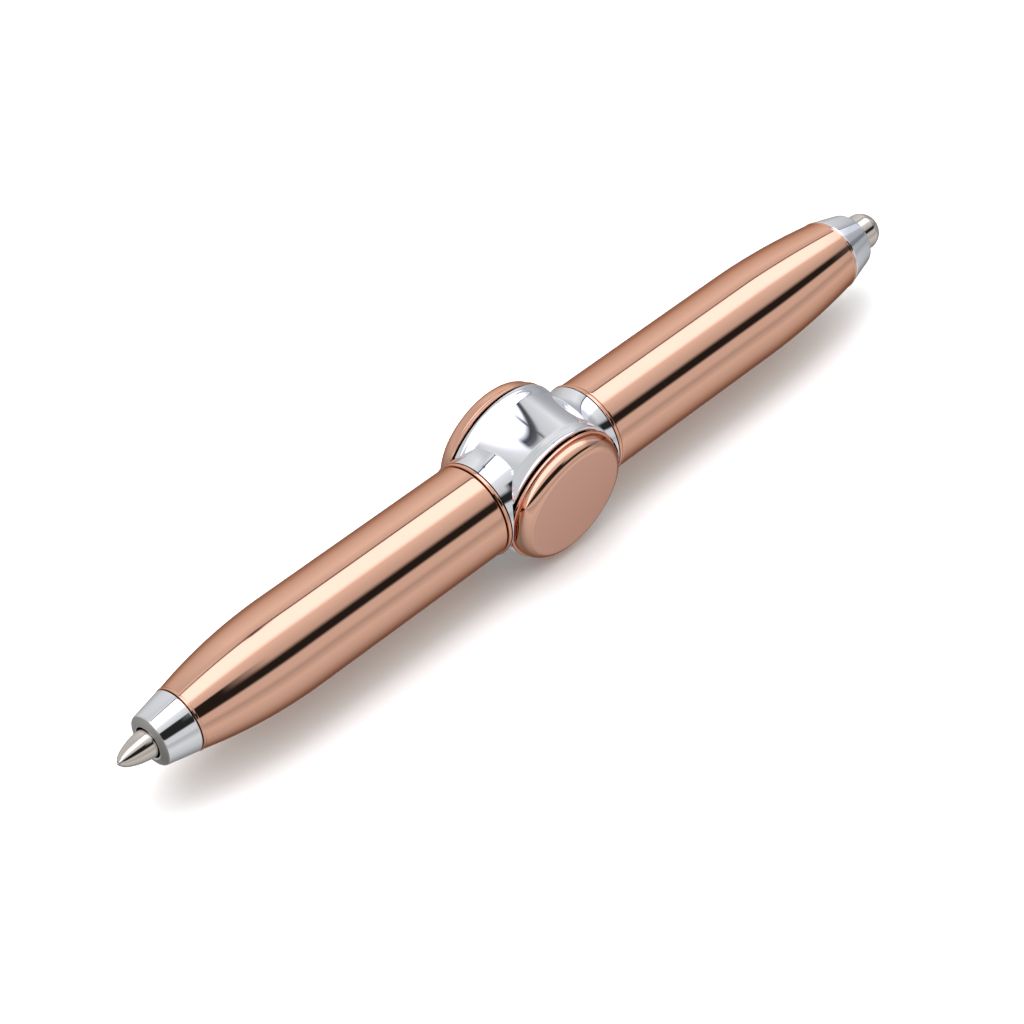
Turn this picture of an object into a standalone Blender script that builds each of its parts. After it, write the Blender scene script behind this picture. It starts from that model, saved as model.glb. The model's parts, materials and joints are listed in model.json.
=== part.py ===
"""Spinner pen: a metal click ballpoint with a bearing hub at its middle and a finger cap on each side.

Frame: +X runs along the pen towards the click button, -X towards the writing point, Y is the axis
that the pen spins about, +Z is up. The origin is the centre of the hub. Units are metres.
Rest state: writing, with the refill forward and the button latched in.
"""
import math

import bpy
import bmesh
from mathutils import Matrix

MM = 0.001

# ---- driving dimensions, millimetres ----
BARREL_R = 6.4            # barrel outer radius
BARREL_BORE_R = 5.6        # thin wall along most of the barrel
BARREL_ROOT_BORE_R = 4.75 # thicker at the root, around the thread sleeve
BARREL_ROOT_X = 10.5      # where each barrel starts, past its trim ring
BARREL_END_X = 58.6       # seam between barrel and end cone
TAPER_FROM_X = 41.0       # the barrel is straight up to here
FRONT_SEAM_R, FRONT_TAPER_POWER = 4.35, 2.08
REAR_SEAM_R, REAR_TAPER_POWER = 5.08, 1.9

CONE_END_X = 63.1         # outer edge of the nose cone and of the tail collar
NOSE_EDGE_R, NOSE_BORE_R = 3.45, 2.1
TAIL_EDGE_R, TAIL_BORE_R = 3.95, 2.9
BUTTON_R = 2.6
BUTTON_TIP_X = 68.1
POINT_X = 68.2            # distance of the writing point from the hub's centre

HUB_HALF_WIDTH = 5.2      # hub, along Y
HUB_WAIST_R = 9.25        # spool radius between its lips, a plain cylinder
HUB_LIP_R = 9.5           # spool radius at its two lips
COLLAR_R = 7.15           # collar that each barrel runs into, flared out to a crest lip at the spool
COLLAR_END_R, COLLAR_END_X = 6.5, 9.7   # and at its end
TRIM_R = 6.6
SOCKET_R, SOCKET_X = 4.6, 4.9   # socket for the thread sleeve, and its flat bottom

CAP_R = 9.3               # at the flange next to the hub
CAP_GROOVE_R, CAP_RIM_R = 8.85, 8.95   # groove behind the flange, and the rim in front of it
CAP_FACE_R = 7.6          # flat face, inside its wide rounded edge
CAP_INNER_Y, CAP_OUTER_Y = 5.55, 8.1

BEARING_IN_Y = 2.45       # open 4 x 8 x 2 mm ball bearing, inner face
BEARING_W = 2.0
BEARING_R, BEARING_BORE_R = 4.0, 2.0
RACE_PITCH_R = 3.0
BALL_R = 0.5
BALLS = 7
AXLE_R = 1.85

REFILL_R = 1.5
CLEAR = 0.3               # gap kept between pieces that touch in the real object

ROSE = (0.80, 0.50, 0.40, 1.0)
CHROME = (0.86, 0.87, 0.89, 1.0)
NICKEL = (0.62, 0.60, 0.56, 1.0)
STEEL = (0.55, 0.56, 0.58, 1.0)
BRASS = (0.72, 0.55, 0.25, 1.0)
PLASTIC = (0.85, 0.85, 0.80, 1.0)

for old in list(bpy.data.objects):
    bpy.data.objects.remove(old, do_unlink=True)

pen = bpy.data.collections.new("spinner_pen")
cutters = bpy.data.collections.new("cutters")
bpy.context.scene.collection.children.link(pen)
bpy.context.scene.collection.children.link(cutters)

# a turned shape's local +Z goes to this world direction
ALONG = {
    "+X": Matrix.Rotation(math.pi / 2, 4, "Y"),
    "-X": Matrix.Rotation(-math.pi / 2, 4, "Y"),
    "+Y": Matrix.Rotation(-math.pi / 2, 4, "X"),
    "-Y": Matrix.Rotation(math.pi / 2, 4, "X"),
}


def finish(obj, colour, rough=0.15, metal=1.0):
    mat = bpy.data.materials.new(obj.name + "_finish")
    mat.use_nodes = True
    bsdf = mat.node_tree.nodes["Principled BSDF"]
    bsdf.inputs["Base Color"].default_value = colour
    bsdf.inputs["Roughness"].default_value = rough
    bsdf.inputs["Metallic"].default_value = metal
    obj.data.materials.append(mat)
    return obj


def turned(name, profile, along, closed, steps=32, into=None, parent=None):
    """Turn (radius, height) points in mm about `along`; the outer side comes first, top to bottom."""
    mesh = bpy.data.meshes.new(name)
    edges = [(i, i + 1) for i in range(len(profile) - 1)]
    if closed:
        edges.append((len(profile) - 1, 0))
    mesh.from_pydata([(r * MM, 0.0, h * MM) for r, h in profile], edges, [])
    obj = bpy.data.objects.new(name, mesh)
    (into or pen).objects.link(obj)
    screw = obj.modifiers.new("turn", "SCREW")
    screw.axis = "Z"
    screw.angle = 2 * math.pi
    screw.steps = screw.render_steps = steps
    screw.use_merge_vertices = True
    screw.merge_threshold = 1e-6
    screw.use_smooth_shade = True
    obj.parent = parent
    obj.matrix_world = ALONG[along]
    return obj


def solid(name, outer, along, **kw):
    """A solid of revolution, closed onto its axis at both ends."""
    pts = list(outer)
    if pts[0][0] > 0:
        pts.insert(0, (0.0, pts[0][1]))
    if pts[-1][0] > 0:
        pts.append((0.0, pts[-1][1]))
    return turned(name, pts, along, False, **kw)


def tube(name, outer, inner, along, **kw):
    """A hollow turned piece; both sides are given top to bottom."""
    return turned(name, list(outer) + list(reversed(inner)), along, True, **kw)


def ring(name, r_out, r_in, top, bottom, along, **kw):
    return tube(name, [(r_out, top), (r_out, bottom)], [(r_in, top), (r_in, bottom)], along, **kw)


def boolean(obj, other, operation="DIFFERENCE"):
    mod = obj.modifiers.new(other.name, "BOOLEAN")
    mod.operation = operation
    mod.object = other
    mod.solver = "EXACT"
    other.hide_render = True
    other.display_type = "WIRE"


def rod_tool(name, radius, start, end, along, centre=(0, 0, 0), steps=32):
    """A cylinder used as a Boolean operand, from start to end along its axis."""
    obj = solid(name, [(radius, end), (radius, start)], along, steps=steps, into=cutters)
    obj.matrix_world = Matrix.Translation([c * MM for c in centre]) @ ALONG[along]
    return obj


def box_tool(name, size, centre, turn_x=0.0):
    mesh = bpy.data.meshes.new(name)
    bm = bmesh.new()
    bmesh.ops.create_cube(bm, size=1.0)
    bmesh.ops.scale(bm, vec=[s * MM for s in size], verts=bm.verts)
    bm.to_mesh(mesh)
    bm.free()
    obj = bpy.data.objects.new(name, mesh)
    cutters.objects.link(obj)
    obj.location = [c * MM for c in centre]
    obj.rotation_euler = (turn_x, 0, 0)
    return obj


def pivot(name):
    """An empty on a joint's axis, which the moving pieces are parented to."""
    empty = bpy.data.objects.new(name, None)
    empty.empty_display_size = 0.004
    pen.objects.link(empty)
    return empty


# ---- hub: one casting, a waisted spool about Y with a collar for each barrel ----
LIP_Y = HUB_HALF_WIDTH - 1.1
lip = [(HUB_LIP_R - 0.2, HUB_HALF_WIDTH), (HUB_LIP_R, HUB_HALF_WIDTH - 0.2),
       (HUB_LIP_R, HUB_HALF_WIDTH - 0.75)]
half_waist = [(HUB_LIP_R - 0.1, LIP_Y), (HUB_WAIST_R + 0.05, LIP_Y - 0.35), (HUB_WAIST_R, LIP_Y - 0.9)]
waist = half_waist + [(r, -y) for r, y in reversed(half_waist)]
hub = solid("hub_housing", lip + waist + [(r, -y) for r, y in reversed(lip)], "+Y", steps=48)
half_collar = [(COLLAR_END_R, COLLAR_END_X), (COLLAR_END_R + 0.03, 8.9), (COLLAR_END_R + 0.12, 8.1),
               (COLLAR_END_R + 0.34, 7.2), (COLLAR_R - 0.05, 6.65), (COLLAR_R, 6.45), (COLLAR_R - 0.15, 6.2),
               (6.5, 6.0)]
collar_bar = solid("collar_bar", half_collar + [(r, -x) for r, x in reversed(half_collar)], "+X", steps=40,
                   into=cutters)
boolean(hub, collar_bar, "UNION")
for side, along in (("near", "-Y"), ("far", "+Y")):
    boolean(hub, rod_tool(side + "_cap_recess", CAP_R + CLEAR, HUB_HALF_WIDTH, 12.0, along, steps=48))
    boolean(hub, rod_tool(side + "_bearing_pocket", BEARING_R + 0.15, BEARING_IN_Y - 0.2, 12.0, along))
for side, along in (("front", "-X"), ("rear", "+X")):
    boolean(hub, rod_tool(side + "_socket", SOCKET_R, SOCKET_X, 14.0, along))
boolean(hub, rod_tool("refill_way", REFILL_R + 0.35, -15.0, 15.0, "+X", steps=20))
finish(hub, CHROME, 0.06)

# ---- trim rings, thread sleeves and barrels ----
for side, along in (("front", "-X"), ("rear", "+X")):
    finish(ring(side + "_trim_ring", TRIM_R, BARREL_ROOT_BORE_R, BARREL_ROOT_X - 0.15, COLLAR_END_X + 0.15,
                along, steps=36), ROSE, 0.1)
    finish(ring(side + "_thread_sleeve", SOCKET_R - 0.12, 3.9, 20.0, SOCKET_X + CLEAR, along, steps=28),
           BRASS, 0.35)


def barrel(name, seam_r, power, along):
    outer = []
    for i in range(9):
        u = 1 - i / 8
        x = TAPER_FROM_X + (BARREL_END_X - TAPER_FROM_X) * u
        outer.append((BARREL_R - (BARREL_R - seam_r) * u ** power, x))
    outer += [(BARREL_R, BARREL_ROOT_X + 0.2), (BARREL_R - 0.2, BARREL_ROOT_X)]
    bore_r = seam_r - 0.9
    inner = [(bore_r, BARREL_END_X), (bore_r, 53.5), (BARREL_BORE_R - 0.45, 48.0), (BARREL_BORE_R, 42.0),
             (BARREL_BORE_R, 22.0), (BARREL_ROOT_BORE_R, 21.0), (BARREL_ROOT_BORE_R, BARREL_ROOT_X)]
    return finish(tube(name, outer, inner, along, steps=40), ROSE, 0.08)


barrel("front_barrel", FRONT_SEAM_R, FRONT_TAPER_POWER, "-X")
barrel("rear_barrel", REAR_SEAM_R, REAR_TAPER_POWER, "+X")

# ---- end cones: each has a spigot that goes into its barrel ----


def end_cone(name, seam_r, edge_r, bore_r, spigot_x, along):
    spigot_r = seam_r - 0.9 - CLEAR
    shoulder_x = BARREL_END_X + 0.15
    outer = [(bore_r + 0.15, CONE_END_X + 0.55), (bore_r + 0.35, CONE_END_X + 0.5),
             (edge_r - 0.12, CONE_END_X + 0.12), (edge_r, CONE_END_X - 0.1),
             (seam_r - 0.08, shoulder_x), (spigot_r, shoulder_x), (spigot_r, spigot_x)]
    inner = [(bore_r, CONE_END_X + 0.45), (bore_r, spigot_x)]
    return finish(tube(name, outer, inner, along, steps=36), CHROME, 0.06)


end_cone("nose_cone", FRONT_SEAM_R, NOSE_EDGE_R, NOSE_BORE_R, 52.5, "-X")
end_cone("tail_collar", REAR_SEAM_R, TAIL_EDGE_R, TAIL_BORE_R, 54.5, "+X")

# ---- click mechanism, in the rear barrel ----
DOME_H = 2.4
dome = [(0.0, BUTTON_TIP_X)]
for i in range(1, 8):
    a = math.radians(90 - i * 90 / 7)
    dome.append((BUTTON_R * math.cos(a), BUTTON_TIP_X - DOME_H + DOME_H * math.sin(a)))
finish(solid("click_button", dome + [(BUTTON_R, 46.4)], "+X", steps=32, parent=pivot("button_slide")),
       NICKEL, 0.08)

SLEEVE_FROM_X, SLEEVE_TO_X = 35.0, 51.7
cam_sleeve = ring("cam_sleeve", 3.9, 3.0, SLEEVE_TO_X, SLEEVE_FROM_X, "+X", steps=28)
for i in range(2):
    boolean(cam_sleeve, box_tool("cam_groove_%d" % (i + 1), (17.0, 7.0, 1.5),
                                 (SLEEVE_TO_X - 0.7 - 8.5, 0, 0), i * math.pi / 2))
finish(cam_sleeve, PLASTIC, 0.5, 0.0)

refill_slide = pivot("refill_slide")
rotor = solid("cam_rotor", [(2.4, 46.0), (2.4, 42.0), (1.4, 42.0), (1.4, 41.2)], "+X", steps=24,
              parent=pivot("rotor_slide"))
for i in range(2):
    boolean(rotor, box_tool("rotor_fin_%d" % (i + 1), (2.0, 6.4, 0.8), (43.6, 0, 0), i * math.pi / 2),
            "UNION")
finish(rotor, PLASTIC, 0.5, 0.0)

# ---- refill, with the shoulder that the return spring pushes on ----
SPRING_FROM_X, SPRING_TO_X = 51.9, 34.2
finish(tube("refill_tube",
            [(REFILL_R, 55.0), (REFILL_R, 33.9), (2.3, 33.9), (2.3, 33.2), (REFILL_R, 33.2),
             (REFILL_R, -40.9)],
            [(0.95, 55.0), (0.95, -40.9)], "-X", steps=20, parent=refill_slide), PLASTIC, 0.3, 0.0)
NOZZLE_END_X, NOZZLE_L = 67.85, 4.7
# the tip ball sits in a small socket in the nozzle's end
ogive = [(0.25, 67.7), (0.25, 67.95), (0.38, 67.95)]
for i in range(9):
    t = i / 8
    ogive.append((0.46 + 1.42 * math.sin(t * math.pi / 2) ** 0.75, NOZZLE_END_X - NOZZLE_L * t))
finish(solid("refill_nozzle",
             ogive + [(1.85, 59.2), (1.5, 58.4), (1.5, 55.3), (0.8, 55.3), (0.8, 52.0)],
             "-X", steps=28, parent=refill_slide), NICKEL, 0.12)

TIP_BALL_R = 0.215
mesh = bpy.data.meshes.new("tip_ball")
bm = bmesh.new()
bmesh.ops.create_uvsphere(bm, u_segments=12, v_segments=8, radius=TIP_BALL_R * MM)
bm.to_mesh(mesh)
bm.free()
mesh.shade_smooth()
tip_ball = bpy.data.objects.new("tip_ball", mesh)
pen.objects.link(tip_ball)
tip_ball.parent = refill_slide
tip_ball.location = (-(POINT_X - TIP_BALL_R) * MM, 0, 0)
finish(tip_ball, STEEL, 0.1)

# ---- return spring, around the refill, against the nose cone's spigot ----
COILS, PER_TURN, COIL_R, WIRE_R = 7, 12, 2.05, 0.22
curve = bpy.data.curves.new("refill_spring", "CURVE")
curve.dimensions = "3D"
curve.bevel_depth = WIRE_R * MM
curve.bevel_resolution = 1
curve.use_fill_caps = True
spline = curve.splines.new("POLY")
spline.points.add(COILS * PER_TURN)
for i, point in enumerate(spline.points):
    a = 2 * math.pi * i / PER_TURN
    x = -SPRING_FROM_X + (SPRING_FROM_X - SPRING_TO_X) * i / (COILS * PER_TURN)
    point.co = (x * MM, COIL_R * MM * math.cos(a), COIL_R * MM * math.sin(a), 1.0)
spring = bpy.data.objects.new("refill_spring", curve)
pen.objects.link(spring)
finish(spring, STEEL, 0.3)

# ---- finger caps, axles and bearings, one set on each side ----
ball_mesh = bpy.data.meshes.new("bearing_ball")
bm = bmesh.new()
bmesh.ops.create_icosphere(bm, subdivisions=2, radius=BALL_R * MM)
bm.to_mesh(ball_mesh)
bm.free()
ball_mesh.shade_smooth()

BEARING_OUT_Y = BEARING_IN_Y + BEARING_W
BEARING_MID_Y = BEARING_IN_Y + BEARING_W / 2
# the groove that the balls run in, as (height from the bearing's middle, share of its depth)
GROOVE = ((1.0, 0.0), (0.6, 0.0), (0.3, 0.75), (0.0, 1.0), (-0.3, 0.75), (-0.6, 0.0), (-1.0, 0.0))
GROOVE_DEPTH = 0.22
INNER_SHOULDER_R, OUTER_SHOULDER_R = 2.6, 3.4

for side, along in (("near", "-Y"), ("far", "+Y")):
    sign = -1 if side == "near" else 1
    spin, orbit = pivot(side + "_cap_spin"), pivot(side + "_cage_spin")
    mid, face = BEARING_MID_Y, CAP_OUTER_Y

    finish(solid("finger_cap_" + side,
                 [(CAP_FACE_R, face), (8.05, face - 0.12), (8.45, face - 0.45), (8.7, face - 0.9),
                  (CAP_RIM_R, face - 1.35), (CAP_GROOVE_R, face - 1.9), (CAP_R, face - 2.1),
                  (CAP_R, CAP_INNER_Y + 0.15),
                  (CAP_R - 0.2, CAP_INNER_Y), (2.15, CAP_INNER_Y), (2.15, face - 1.0)],
                 along, steps=48, parent=spin), ROSE, 0.08)
    finish(solid("cap_axle_" + side, [(AXLE_R, face - 1.0 - CLEAR), (AXLE_R, BEARING_IN_Y + 0.1)],
                 along, steps=24, parent=spin), STEEL, 0.2)
    finish(ring("cap_spacer_" + side, 2.5, BEARING_BORE_R, CAP_INNER_Y - CLEAR, BEARING_OUT_Y + CLEAR,
                along, steps=24, parent=spin), STEEL, 0.3)
    finish(tube("bearing_inner_ring_" + side,
                [(INNER_SHOULDER_R - GROOVE_DEPTH * s, mid + h) for h, s in GROOVE],
                [(BEARING_BORE_R, mid + 1), (BEARING_BORE_R, mid - 1)],
                along, steps=24, parent=spin), STEEL, 0.15)
    finish(tube("bearing_outer_ring_" + side,
                [(BEARING_R, mid + 1), (BEARING_R, mid - 1)],
                [(OUTER_SHOULDER_R + GROOVE_DEPTH * s, mid + h) for h, s in GROOVE],
                along, steps=32), STEEL, 0.15)
    finish(ring("snap_ring_" + side, BEARING_R, 3.5, HUB_HALF_WIDTH - 0.2, BEARING_OUT_Y + 0.15,
                along, steps=28), STEEL, 0.3)

    # crown cage: a thin ring on the inner side, open pockets facing out
    cage = ring("bearing_cage_" + side, 3.28, 2.74, mid + 0.2, mid - 0.9, along, steps=28, parent=orbit)
    for i in range(BALLS):
        a = 2 * math.pi * i / BALLS
        x, z = RACE_PITCH_R * math.cos(a), RACE_PITCH_R * math.sin(a)
        boolean(cage, rod_tool("ball_pocket_%s_%d" % (side, i + 1), BALL_R + 0.12, mid - 0.62, mid + 0.6,
                               along, (x, 0, z), 10))
        ball = bpy.data.objects.new("bearing_ball_%s_%d" % (side, i + 1), ball_mesh)
        pen.objects.link(ball)
        ball.parent = orbit
        ball.location = (x * MM, sign * mid * MM, z * MM)
    finish(cage, BRASS, 0.4)
ball_steel = bpy.data.materials.new("bearing_ball_finish")
ball_steel.use_nodes = True
bsdf = ball_steel.node_tree.nodes["Principled BSDF"]
bsdf.inputs["Base Color"].default_value = STEEL
bsdf.inputs["Roughness"].default_value = 0.1
bsdf.inputs["Metallic"].default_value = 1.0
ball_mesh.materials.append(ball_steel)
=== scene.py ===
"""Spinner pen: the looks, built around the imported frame. Profiles are in millimetres, objects in metres."""
import json
import math

import bmesh
import bpy
from mathutils import Matrix, Vector


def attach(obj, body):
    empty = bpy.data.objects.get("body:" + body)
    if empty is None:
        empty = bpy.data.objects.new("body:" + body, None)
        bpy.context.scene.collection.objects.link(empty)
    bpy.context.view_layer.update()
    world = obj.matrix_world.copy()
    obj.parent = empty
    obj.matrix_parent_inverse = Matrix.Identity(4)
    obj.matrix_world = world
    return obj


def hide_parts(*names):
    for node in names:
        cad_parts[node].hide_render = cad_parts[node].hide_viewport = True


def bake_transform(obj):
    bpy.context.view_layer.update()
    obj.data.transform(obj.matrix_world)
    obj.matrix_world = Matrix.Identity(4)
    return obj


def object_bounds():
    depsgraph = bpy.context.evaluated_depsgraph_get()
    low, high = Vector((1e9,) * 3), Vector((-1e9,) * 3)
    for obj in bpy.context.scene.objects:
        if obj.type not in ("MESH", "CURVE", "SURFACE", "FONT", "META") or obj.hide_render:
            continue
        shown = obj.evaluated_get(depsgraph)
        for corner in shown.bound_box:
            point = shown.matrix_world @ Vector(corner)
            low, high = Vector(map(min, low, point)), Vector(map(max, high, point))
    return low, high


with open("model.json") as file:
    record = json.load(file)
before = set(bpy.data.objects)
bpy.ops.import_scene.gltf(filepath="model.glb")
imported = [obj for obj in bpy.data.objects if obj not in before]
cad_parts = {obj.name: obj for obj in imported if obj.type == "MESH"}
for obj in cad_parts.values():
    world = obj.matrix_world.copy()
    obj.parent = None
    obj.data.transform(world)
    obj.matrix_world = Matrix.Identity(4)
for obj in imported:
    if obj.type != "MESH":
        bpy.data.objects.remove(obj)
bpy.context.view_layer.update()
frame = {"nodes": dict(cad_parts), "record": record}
MM = 0.001
bpy.context.scene.view_settings.view_transform = "Standard"

ALONG = {
    "+X": Matrix.Rotation(math.pi / 2, 4, "Y"),
    "-X": Matrix.Rotation(-math.pi / 2, 4, "Y"),
    "+Y": Matrix.Rotation(-math.pi / 2, 4, "X"),
    "-Y": Matrix.Rotation(math.pi / 2, 4, "X"),
}


# ---------------------------------------------------------------- materials
SMUDGE_SCALE, GRAIN_SCALE, GRAIN_DEPTH = 140.0, 900.0, 0.00002
ROSE_RIM = (0.7, 0.42, 0.33)


def polished(name, base, edge, rough, brushed=0.0, wear=0.04, rim=(1, 1, 1)):
    """Plated metal with faint smudges; brushed adds a fine grain, and rim tints what is seen edge-on."""
    mat = bpy.data.materials.new(name)
    mat.use_nodes = True
    nt = mat.node_tree
    n, ln = nt.nodes, nt.links
    bsdf = n["Principled BSDF"]
    bsdf.inputs["Metallic"].default_value = 1.0
    bsdf.inputs["Specular Tint"].default_value = (*rim, 1)
    coords = n.new("ShaderNodeTexCoord")
    smudge = n.new("ShaderNodeTexNoise")
    smudge.inputs["Scale"].default_value = SMUDGE_SCALE
    smudge.inputs["Detail"].default_value = 4.0
    ln.new(coords.outputs["Object"], smudge.inputs["Vector"])
    rng = n.new("ShaderNodeMapRange")
    rng.inputs["From Min"].default_value = 0.35
    rng.inputs["From Max"].default_value = 0.7
    rng.inputs["To Min"].default_value = rough
    rng.inputs["To Max"].default_value = rough + wear
    ln.new(smudge.outputs["Fac"], rng.inputs["Value"])
    ln.new(rng.outputs["Result"], bsdf.inputs["Roughness"])
    tint = n.new("ShaderNodeMix")
    tint.data_type = "RGBA"
    tint.inputs["A"].default_value = (*base, 1)
    tint.inputs["B"].default_value = (*edge, 1)
    ln.new(smudge.outputs["Fac"], tint.inputs["Factor"])
    ln.new(tint.outputs["Result"], bsdf.inputs["Base Color"])
    if brushed:
        grain = n.new("ShaderNodeTexNoise")
        grain.inputs["Scale"].default_value = GRAIN_SCALE
        grain.inputs["Detail"].default_value = 2.0
        ln.new(coords.outputs["Object"], grain.inputs["Vector"])
        bump = n.new("ShaderNodeBump")
        bump.inputs["Strength"].default_value = brushed
        bump.inputs["Distance"].default_value = GRAIN_DEPTH
        ln.new(grain.outputs["Fac"], bump.inputs["Height"])
        ln.new(bump.outputs["Normal"], bsdf.inputs["Normal"])
    return mat


ROSE = polished("rose_gold", (0.83, 0.475, 0.345), (0.85, 0.50, 0.365), 0.05, wear=0.02, rim=ROSE_RIM)
# satin rose gold for the cap faces: the satin finish is real, and its colour, lighter than the polished rose
# gold, is painted light on the faces
ROSE_SATIN_PAINTED_LIGHTER = polished("rose_gold_face", (0.95, 0.58, 0.46), (0.97, 0.60, 0.48), 0.34, wear=0.03,
                      rim=ROSE_RIM)
CHROME = polished("chrome", (0.84, 0.85, 0.89), (0.87, 0.88, 0.92), 0.03, wear=0.015)
NICKEL = polished("nickel", (0.66, 0.60, 0.55), (0.72, 0.66, 0.60), 0.06, wear=0.03)
NICKEL_TURNED = polished("nickel_turned", (0.46, 0.45, 0.43), (0.55, 0.54, 0.51), 0.26, brushed=0.3)
STEEL = polished("ground_steel", (0.55, 0.56, 0.58), (0.62, 0.63, 0.65), 0.20, brushed=0.2)
BRASS = polished("turned_brass", (0.72, 0.52, 0.24), (0.76, 0.57, 0.28), 0.25, brushed=0.2)


def plastic(name, colour):
    mat = bpy.data.materials.new(name)
    mat.use_nodes = True
    n, ln = mat.node_tree.nodes, mat.node_tree.links
    bsdf = n["Principled BSDF"]
    bsdf.inputs["Base Color"].default_value = (*colour, 1)
    coords = n.new("ShaderNodeTexCoord")
    noise = n.new("ShaderNodeTexNoise")
    noise.inputs["Scale"].default_value = 700.0
    ln.new(coords.outputs["Object"], noise.inputs["Vector"])
    rng = n.new("ShaderNodeMapRange")
    rng.inputs["To Min"].default_value = 0.3
    rng.inputs["To Max"].default_value = 0.45
    ln.new(noise.outputs["Fac"], rng.inputs["Value"])
    ln.new(rng.outputs["Result"], bsdf.inputs["Roughness"])
    return mat


PLASTIC = plastic("moulded_plastic", (0.85, 0.85, 0.80))


# ---------------------------------------------------------------- mesh helpers
def turned(name, profile, along, closed, mat, steps=160, mats=None):
    """Turn (radius, height) points in mm; mats is a second material and the profile segments that have it."""
    bm = bmesh.new()
    rows = []
    for r, h in profile:
        if r <= 1e-6:
            rows.append([bm.verts.new((0, 0, h * MM))])
        else:
            rows.append([bm.verts.new((r * MM * math.cos(2 * math.pi * k / steps),
                                       r * MM * math.sin(2 * math.pi * k / steps), h * MM))
                         for k in range(steps)])
    count = len(rows) if closed else len(rows) - 1
    for i in range(count):
        a, b = rows[i], rows[(i + 1) % len(rows)]
        for k in range(steps):
            k2 = (k + 1) % steps
            if len(a) == 1:
                f = bm.faces.new((a[0], b[k], b[k2]))
            elif len(b) == 1:
                f = bm.faces.new((a[k], b[0], a[k2]))
            else:
                f = bm.faces.new((a[k], b[k], b[k2], a[k2]))
            f.material_index = 1 if mats and i in mats[1] else 0
    bmesh.ops.recalc_face_normals(bm, faces=bm.faces)
    mesh = bpy.data.meshes.new(name)
    bm.to_mesh(mesh)
    bm.free()
    mesh.transform(ALONG[along])
    mesh.materials.append(mat)
    if mats:
        mesh.materials.append(mats[0])
    mesh.shade_smooth()
    mesh.set_sharp_from_angle(angle=math.radians(28))
    obj = bpy.data.objects.new(name, mesh)
    bpy.context.scene.collection.objects.link(obj)
    return obj


def paint(node, mat):
    obj = frame["nodes"][node]
    obj.data.materials.clear()
    obj.data.materials.append(mat)


body_of_node = {n: b for b, ns in frame["record"]["behaviour"]["bodies"].items() for n in ns}
slot_of_node = {s["node"]: s["material_slot"] for s in frame["record"]["subparts"]}
BY_SLOT = {"rose_gold": ROSE, "chrome": CHROME, "nickel": NICKEL, "steel": STEEL, "brass": BRASS,
           "plastic": PLASTIC}
for node, slot_name in slot_of_node.items():
    paint(node, BY_SLOT[slot_name])


# ---------------------------------------------------------------- shapes, millimetres
def corner(points, radius=0.12, n=4):
    """Round every inner corner of an open profile with a small quadratic arc."""
    out = [points[0]]
    for a, b, c in zip(points, points[1:], points[2:]):
        a, b, c = Vector(a), Vector(b), Vector(c)
        d0, d1 = min(radius, (b - a).length * 0.45), min(radius, (c - b).length * 0.45)
        p, q = b + (a - b).normalized() * d0, b + (c - b).normalized() * d1
        for i in range(n + 1):
            t = i / n
            out.append(tuple(p * (1 - t) ** 2 + b * 2 * t * (1 - t) + q * t * t))
    out.append(points[-1])
    return out


def stand_in(obj, node):
    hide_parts(node)
    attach(obj, body_of_node[node])
    return obj


BARREL_R, TAPER_FROM_X, BARREL_END_X, ROOT_X = 6.4, 41.0, 58.6, 10.5
ROOT_BORE_R, BORE_R, TAPER_STEPS = 4.75, 5.6, 48
FRONT_SEAM_R, REAR_SEAM_R = 4.35, 5.08


def barrel(node, seam_r, power, along):
    """Hollow barrel from its root at the hub to a small bead at the seam with the end cone."""
    bead_x, bead_from_x, wall_r = BARREL_END_X + 0.09, BARREL_END_X - 0.25, seam_r - 0.9
    outer = [(wall_r, BARREL_END_X), (seam_r - 0.3, BARREL_END_X), (seam_r - 0.22, bead_x),
             (seam_r + 0.02, bead_x), (seam_r + 0.04, BARREL_END_X - 0.15), (seam_r, bead_from_x)]
    for i in range(1, TAPER_STEPS + 1):
        u = 1 - i / TAPER_STEPS
        x = TAPER_FROM_X + (bead_from_x - TAPER_FROM_X) * u
        outer.append((BARREL_R - (BARREL_R - seam_r) * u ** power, x))
    outer += [(BARREL_R, 30.0), (BARREL_R, ROOT_X + 0.6), (BARREL_R, ROOT_X), (ROOT_BORE_R, ROOT_X)]
    inner = [(ROOT_BORE_R, ROOT_X), (ROOT_BORE_R, 21.0), (BORE_R, 22.0), (BORE_R, 42.0), (5.15, 48.0),
             (wall_r, 53.5)]
    rounded = corner(outer[:6], 0.12) + outer[6:-3] + corner(outer[-4:], 0.18)[1:]
    stand_in(turned(node + "_shell", rounded + inner[1:], along, True, ROSE, 192), node)


barrel("front_barrel", FRONT_SEAM_R, 2.08, "-X")
barrel("rear_barrel", REAR_SEAM_R, 1.9, "+X")

for side, along in (("front", "-X"), ("rear", "+X")):
    loop = corner([(ROOT_BORE_R, 10.35), (6.6, 10.35), (6.6, 9.85), (ROOT_BORE_R, 9.85)], 0.2, 6)
    stand_in(turned(side + "_trim_bead", loop, along, True, ROSE, 160), side + "_trim_ring")


def end_cone(node, seam_r, edge_r, bore_r, spigot_x, along):
    spigot_r = seam_r - 1.2
    loop = [(bore_r, spigot_x), (bore_r, 63.55), (bore_r + 0.3, 63.64), (edge_r - 0.1, 63.2), (edge_r, 62.95),
            (seam_r - 0.08, 58.95), (seam_r - 0.2, 58.75), (spigot_r, 58.75), (spigot_r, spigot_x)]
    stand_in(turned(node + "_shell", corner(loop, 0.1), along, True, CHROME, 160,
                    (NICKEL_TURNED, range(6, 14))), node)


end_cone("nose_cone", FRONT_SEAM_R, 3.45, 2.1, 52.5, "-X")
end_cone("tail_collar", REAR_SEAM_R, 3.95, 2.9, 54.5, "+X")


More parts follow.
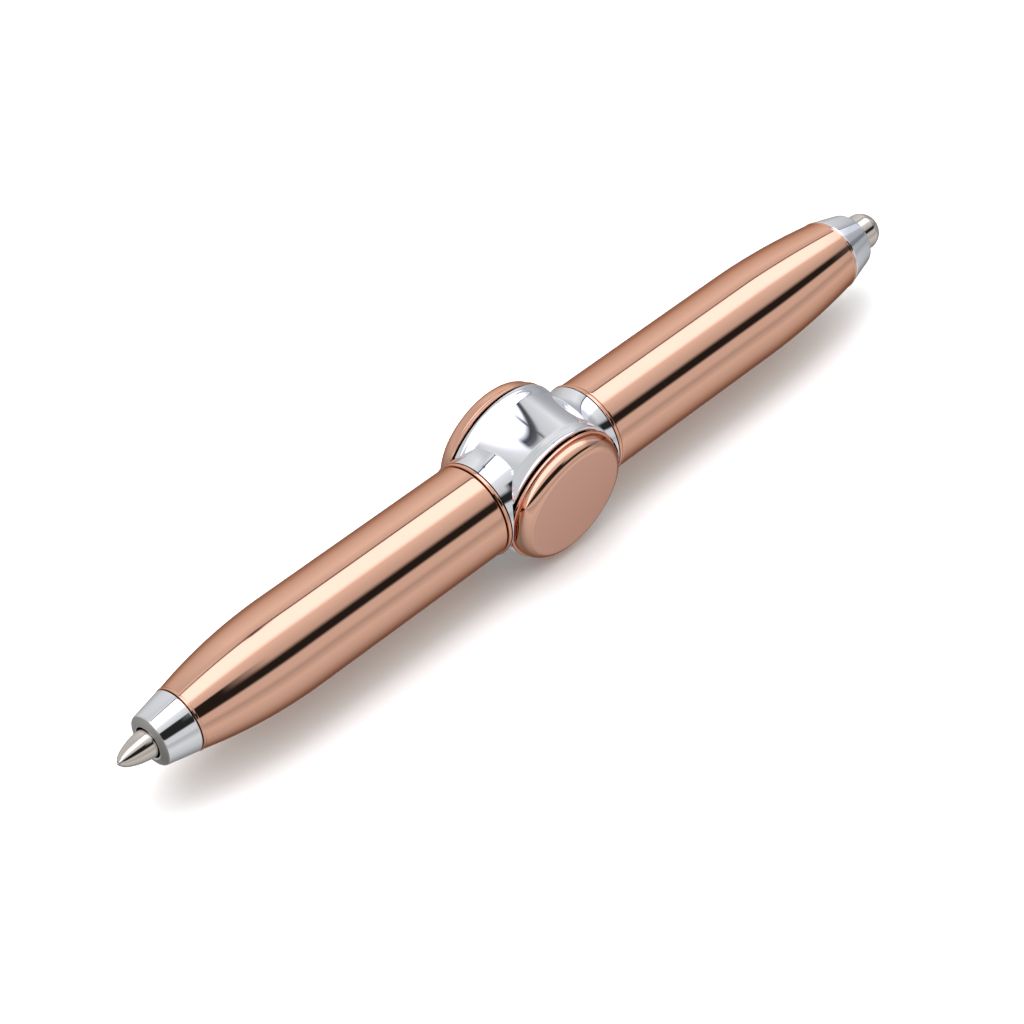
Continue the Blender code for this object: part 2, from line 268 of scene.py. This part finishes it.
def click_button():
    """Plunger with a flattened round end."""
    button_r, dome_h, tip_x, root_x, steps = 2.6, 2.4, 68.1, 46.4, 24
    dome = [(0.0, tip_x)]
    for i in range(1, steps + 1):
        a = math.radians(90 - i * 90 / steps)
        dome.append((button_r * math.cos(a), tip_x - dome_h + dome_h * math.sin(a)))
    profile = dome + [(button_r, root_x), (0.0, root_x)]
    stand_in(turned("click_button_dome", profile, "+X", False, NICKEL, 128), "click_button")


def nozzle():
    """Writing point: a round-sided point with a socket for the tip ball, then the stem inside the pen."""
    end_x, length, steps = 67.85, 4.7, 24
    socket = [(0.0, 67.7), (0.25, 67.7), (0.25, 67.95), (0.38, 67.95)]
    ogive = [(0.46 + 1.42 * math.sin(t * math.pi / 2) ** 0.65, end_x - length * t)
             for t in [i / steps for i in range(steps + 1)]]
    stem = [(1.85, 59.2), (1.5, 58.4), (1.5, 55.3), (0.8, 55.3), (0.8, 52.0), (0.0, 52.0)]
    point = turned("nozzle_turned", socket + ogive + stem, "-X", False, NICKEL, 128)
    stand_in(point, "refill_nozzle")


click_button()
nozzle()

# return spring: a coil from against the nose cone to the refill's shoulder, not attached to a body
SPRING_FROM_X, SPRING_TO_X, COILS, COIL_R, WIRE_R = -51.9, -34.2, 7, 2.05, 0.22


def coil(name, per_turn=24, sides=10):
    bm = bmesh.new()
    rings = []
    pitch = (SPRING_TO_X - SPRING_FROM_X) / (COILS * 2 * math.pi)
    for i in range(COILS * per_turn + 1):
        a = 2 * math.pi * i / per_turn
        radial = Vector((0, math.cos(a), math.sin(a)))
        centre = Vector((SPRING_FROM_X + pitch * a, 0, 0)) + radial * COIL_R
        tangent = Vector((pitch, -COIL_R * math.sin(a), COIL_R * math.cos(a))).normalized()
        across = tangent.cross(radial)
        rings.append([bm.verts.new((centre + (radial * math.cos(2 * math.pi * k / sides)
                                              + across * math.sin(2 * math.pi * k / sides)) * WIRE_R) * MM)
                      for k in range(sides)])
    for a, b in zip(rings, rings[1:]):
        for k in range(sides):
            bm.faces.new((a[k], a[(k + 1) % sides], b[(k + 1) % sides], b[k]))
    bm.faces.new(rings[0])
    bm.faces.new(rings[-1])
    bmesh.ops.recalc_face_normals(bm, faces=bm.faces)
    mesh = bpy.data.meshes.new(name)
    bm.to_mesh(mesh)
    bm.free()
    mesh.materials.append(STEEL)
    mesh.shade_smooth()
    obj = bpy.data.objects.new(name, mesh)
    bpy.context.scene.collection.objects.link(obj)
    return obj


spring = coil("return_spring")
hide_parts("refill_spring")
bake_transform(spring)

for side, along in (("near", "-Y"), ("far", "+Y")):
    # very slightly crowned face, one broad round down to the groove, then the flange
    rim = [(7.4 * k / 12, 8.1 - 0.13 * (k / 12) ** 2) for k in range(13)]
    rim += [(7.45 + 1.5 * math.sin(a), 6.2 + 1.77 * math.cos(a))
            for a in [math.radians(2.5 * k) for k in range(1, 37)]]
    rim += corner([(8.94, 6.12), (8.84, 6.02), (9.28, 6.0), (9.3, 5.65), (9.1, 5.55), (2.15, 5.55)], 0.09, 4)
    under = [(2.15, 5.55), (2.15, 7.1), (0.0, 7.1)]
    # the faces get the lighter satin rose gold, painted light
    stand_in(turned("finger_cap_%s_shell" % side, rim + under[1:], along, False, ROSE, 256,
                    (ROSE_SATIN_PAINTED_LIGHTER, range(0, 17))), "finger_cap_" + side)


# hub: spool and flared collars, with the same recesses as the CAD
HUB_HALF_WIDTH, WAIST_R, WAIST_HALF, SADDLE_DIP = 5.2, 9.25, 3.2, 0.07
COLLAR_R, COLLAR_END_R, COLLAR_END_X = 7.15, 6.5, 9.7
MERGE = 0.000004


def mirrored(points):
    """A profile from the top down, followed by the same one below the middle."""
    return points + [(r, -h) for r, h in reversed(points)]


def spool_profile():
    lip = [(9.3, HUB_HALF_WIDTH), (9.48, 5.08), (9.5, 4.95), (9.5, 4.6), (9.46, 4.45)]
    rise = [(WAIST_R + 0.2 * (1 - math.cos(math.pi * t / 10)) / 2, WAIST_HALF + 1.2 * t / 10)
            for t in range(10, -1, -1)]
    saddle = [(WAIST_R - SADDLE_DIP * (1 - (y / WAIST_HALF) ** 2), y)
              for y in [3.0 - 0.25 * k for k in range(25)]]
    top = [(0.0, HUB_HALF_WIDTH)] + lip + rise
    return top + saddle + [(r, -h) for r, h in reversed(top)]


def collar_profile():
    flare = [(COLLAR_END_R + 0.65 * (t / 16) ** 2.2, COLLAR_END_X - 3.2 * t / 16) for t in range(17)]
    crest = [(COLLAR_R, 6.42), (7.1, 6.32), (7.0, 6.22), (COLLAR_END_R, 6.0)]
    return mirrored([(0.0, COLLAR_END_X)] + flare + crest)


def plug(name, radius, top, bottom, along, steps):
    profile = [(0.0, top), (radius, top), (radius, bottom), (0.0, bottom)]
    return turned(name, profile, along, False, CHROME, steps)


def clean(mesh):
    """Take out the slivers that booleans leave where round tools cross the spool."""
    bm = bmesh.new()
    bm.from_mesh(mesh)
    bmesh.ops.remove_doubles(bm, verts=bm.verts, dist=MERGE)
    bmesh.ops.dissolve_degenerate(bm, edges=bm.edges, dist=MERGE)
    bmesh.ops.triangulate(bm, faces=[f for f in bm.faces if len(f.verts) > 4])
    bmesh.ops.recalc_face_normals(bm, faces=bm.faces)
    bm.to_mesh(mesh)
    bm.free()


def hub_shell():
    hub = turned("hub_shell", spool_profile(), "+Y", False, CHROME, 256)
    tools = [turned("tool_collar", collar_profile(), "+X", False, CHROME, 192)]
    for along in ("-Y", "+Y"):
        tools.append(plug("tool_recess", 9.6, 12, HUB_HALF_WIDTH, along, 256))
        tools.append(plug("tool_pocket", 4.15, 12, 2.25, along, 96))
    for along in ("-X", "+X"):
        tools.append(plug("tool_socket", 4.6, 14, 4.9, along, 96))
    tools.append(plug("tool_way", 1.85, 15, -15, "+X", 64))
    for tool in tools:
        mod = hub.modifiers.new("cut", "BOOLEAN")
        mod.operation = "UNION" if tool is tools[0] else "DIFFERENCE"
        mod.object, mod.solver = tool, "EXACT"
    depsgraph = bpy.context.evaluated_depsgraph_get()
    baked = bpy.data.meshes.new_from_object(hub.evaluated_get(depsgraph))
    hub.modifiers.clear()
    hub.data = baked
    for tool in tools:
        bpy.data.objects.remove(tool, do_unlink=True)
    clean(baked)
    baked.materials.clear()
    baked.materials.append(CHROME)
    baked.shade_smooth()
    baked.set_sharp_from_angle(angle=math.radians(35))
    stand_in(hub, "hub_housing")


hub_shell()

# ---------------------------------------------------------------- camera
HUB_TO_CAMERA = 0.376
SCALE_AT_HUB = 7.914                 # picture points for each millimetre at the hub
IMAGE_WIDTH, SENSOR = 1024.0, 36.0
AZIMUTH, ELEVATION, ROLL = math.radians(-48.86), math.radians(47.33), math.radians(4.19)
SHIFT_RIGHT, SHIFT_UP = -0.00222, -0.00539


def add_camera():
    back = Vector((math.sin(AZIMUTH) * math.cos(ELEVATION), -math.cos(AZIMUTH) * math.cos(ELEVATION),
                   math.sin(ELEVATION)))
    right = Vector((math.cos(AZIMUTH), math.sin(AZIMUTH), 0))
    up = back.cross(right)
    cam_right = right * math.cos(ROLL) + up * math.sin(ROLL)
    cam_up = -right * math.sin(ROLL) + up * math.cos(ROLL)
    camera = bpy.data.objects.new("camera", bpy.data.cameras.new("camera"))
    bpy.context.scene.collection.objects.link(camera)
    camera.data.sensor_width = SENSOR
    camera.data.lens = SENSOR * (SCALE_AT_HUB * HUB_TO_CAMERA / MM) / IMAGE_WIDTH
    camera.data.clip_start = 0.01
    place = back * HUB_TO_CAMERA + cam_right * SHIFT_RIGHT + cam_up * SHIFT_UP
    turn = Matrix((cam_right, cam_up, back)).transposed().to_4x4()
    camera.matrix_world = Matrix.Translation(place) @ turn
    bpy.context.scene.camera = camera


add_camera()


# ---------------------------------------------------------------- floor, light
def add_floor():
    """Matt white, just under the pen; the metal reflects the studio's lower half in its place."""
    bm = bmesh.new()
    bmesh.ops.create_grid(bm, x_segments=2, y_segments=2, size=3.0)
    mesh = bpy.data.meshes.new("floor")
    bm.to_mesh(mesh)
    bm.free()
    floor = bpy.data.objects.new("floor", mesh)
    floor.location = (0, 0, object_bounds()[0][2] - 0.0002)
    floor.visible_glossy = False
    bpy.context.scene.collection.objects.link(floor)
    mat = bpy.data.materials.new("floor_white")
    mat.use_nodes = True
    bsdf = mat.node_tree.nodes["Principled BSDF"]
    bsdf.inputs["Base Color"].default_value = (0.97, 0.955, 0.92, 1)
    bsdf.inputs["Roughness"].default_value = 0.9
    bsdf.inputs["Specular IOR Level"].default_value = 0.0
    mesh.materials.append(mat)


add_floor()

# The studio: long softboxes and black flags that run parallel to the pen. Angle round X, from +Y over
# the top (90) to -Y (180), then round below the floor's level; brightness is doubled by the strength.
# below the floor's level the studio stands in for the floor, which the metal doesn't see: a painted
# reflection of the floor, darkest straight under the pen, where the pen's shadow is painted
PEN_SHADOW_BELOW = ((-90, 0.25), (-30, 0.45))
FAR_WALL = ((0, 0.7), (40, 0.9), (60, 0.65))
TOP_BOX = ((62, 1.75), (92, 1.75))
FRONT_FILL = ((100, 0.9), (128, 0.6))
BLACK_FLAG = ((136, 0.02), (150, 0.02))
LOW_FILL = ((155, 0.7), (170, 0.7))
HORIZON = ((180, 0.5),)
FLOOR_REFLECTION = ((200, 0.75), (230, 0.6), (270, 0.25))
STUDIO = PEN_SHADOW_BELOW + FAR_WALL + TOP_BOX + FRONT_FILL + BLACK_FLAG + LOW_FILL + HORIZON + FLOOR_REFLECTION
# towards the writing end the top box starts softly and the black flag is wider
SOFT_TOP_BOX = ((0, 0.7), (50, 0.65), (57, 0.85), (61, 1.5), (66, 1.75), (92, 1.75))
WIDE_FLAG = ((100, 0.9), (118, 0.7), (121, 0.02), (137, 0.02), (150, 0.02))
WIDE = PEN_SHADOW_BELOW + SOFT_TOP_BOX + WIDE_FLAG + LOW_FILL + HORIZON + FLOOR_REFLECTION
world = bpy.data.worlds.new("studio")
bpy.context.scene.world = world
world.use_nodes = True
n, ln = world.node_tree.nodes, world.node_tree.links


def turn_about_x():
    """The direction's angle round X as 0 to 1: from straight down, past +Y, up and -Y, to down again."""
    angle = maths("ARCTAN2", split.outputs["Z"], split.outputs["Y"])
    wrap = n.new("ShaderNodeMath")
    wrap.operation = "WRAP"
    wrap.inputs[1].default_value = 1.5 * math.pi
    wrap.inputs[2].default_value = -0.5 * math.pi
    ln.new(angle, wrap.inputs[0])
    return fade(wrap.outputs[0], -0.5 * math.pi, 1.5 * math.pi)


def maths(operation, a, b):
    node = n.new("ShaderNodeMath")
    node.operation = operation
    ln.new(a, node.inputs[0])
    ln.new(b, node.inputs[1])
    return node.outputs[0]


def fade(value, start, stop, top=1.0):
    """0 where value is start, rising to top where it is stop."""
    node = n.new("ShaderNodeMapRange")
    node.inputs["From Min"].default_value = start
    node.inputs["From Max"].default_value = stop
    node.inputs["To Max"].default_value = top
    ln.new(value, node.inputs["Value"])
    return node.outputs["Result"]


def mixed(share, a, b):
    """Colour a, turning into b, which is a colour or a socket, as share goes from 0 to 1."""
    node = n.new("ShaderNodeMix")
    node.data_type = "RGBA"
    ln.new(share, node.inputs["Factor"])
    ln.new(a, node.inputs["A"])
    if isinstance(b, tuple):
        node.inputs["B"].default_value = (*b, 1)
    else:
        ln.new(b, node.inputs["B"])
    return node.outputs["Result"]


def colour_ramp(stops, value):
    """stops are (place from 0 to 1, colour)."""
    node = n.new("ShaderNodeValToRGB")
    elements = node.color_ramp.elements
    while len(elements) > 1:
        elements.remove(elements[-1])
    for i, (at, colour) in enumerate(stops):
        element = elements[0] if i == 0 else elements.new(at)
        element.position, element.color = at, (*colour, 1)
    ln.new(value, node.inputs["Fac"])
    return node.outputs["Color"]


def ramp(stops):
    """stops are (degrees round X, brightness); the bright boxes are a little cool."""
    return colour_ramp([((deg + 90.0) / 360.0, (v / 2, v / 2, v / 2 * (1.1 if v > 1.2 else 1.0)))
                        for deg, v in sorted(stops)], around)


background = n["Background"]
split = n.new("ShaderNodeSeparateXYZ")
ln.new(n.new("ShaderNodeTexCoord").outputs["Generated"], split.inputs[0])
along_pen = split.outputs["X"]
around = turn_about_x()
studio = mixed(fade(along_pen, 0.27, 0.05), ramp(STUDIO), ramp(WIDE))
# a narrow black flag along the edge of the top softbox, and a short soft one across it
line = ramp(((-90, 0), (57.5, 0), (59.2, 2), (60.6, 2), (62, 0), (270, 0)))
long_flag = maths("MULTIPLY", line, fade(along_pen, -0.20, -0.10))
across = colour_ramp([(at, (v, v, v)) for at, v in
                      ((0.0, 0), (0.25, 0), (0.29, 0.9), (0.32, 0.9), (0.35, 0.4), (0.4, 0))], along_pen)
reach = ramp(((-90, 0), (56, 0), (58, 2), (63, 2), (64, 0), (270, 0)))
short_flag = maths("MULTIPLY", across, reach)
studio = mixed(maths("MAXIMUM", long_flag, short_flag), studio, (0.03, 0.03, 0.035))
# the boxes end short of the button's end, so what faces that way sees a grey wall
studio = mixed(fade(along_pen, 0.78, 0.9, 0.7), studio, (0.16, 0.165, 0.18))
# the camera itself sees a plain white surround
seen = n.new("ShaderNodeLightPath")
studio = mixed(seen.outputs["Is Camera Ray"], studio, (0.52, 0.52, 0.52))
ln.new(studio, background.inputs["Color"])
# twice the ramps' values, and half as much again where it falls on the matt floor, for a light shadow
strength = n.new("ShaderNodeMath")
strength.operation = "ADD"
strength.inputs[1].default_value = 2.0
ln.new(seen.outputs["Is Diffuse Ray"], strength.inputs[0])
ln.new(strength.outputs[0], background.inputs["Strength"])


def add_key():
    """One large softbox over the pen, a little behind it; the metal reflects only the studio's own."""
    data = bpy.data.lights.new("key", "AREA")
    data.shape = "RECTANGLE"
    data.size, data.size_y = 0.9, 0.7
    data.energy = 4.2
    key = bpy.data.objects.new("key", data)
    aim = Vector((0.0, 0.35, 1.0)).normalized()
    key.location = aim * 0.95
    key.rotation_euler = aim.to_track_quat("Z", "Y").to_euler()
    key.visible_glossy = False
    bpy.context.scene.collection.objects.link(key)


add_key()
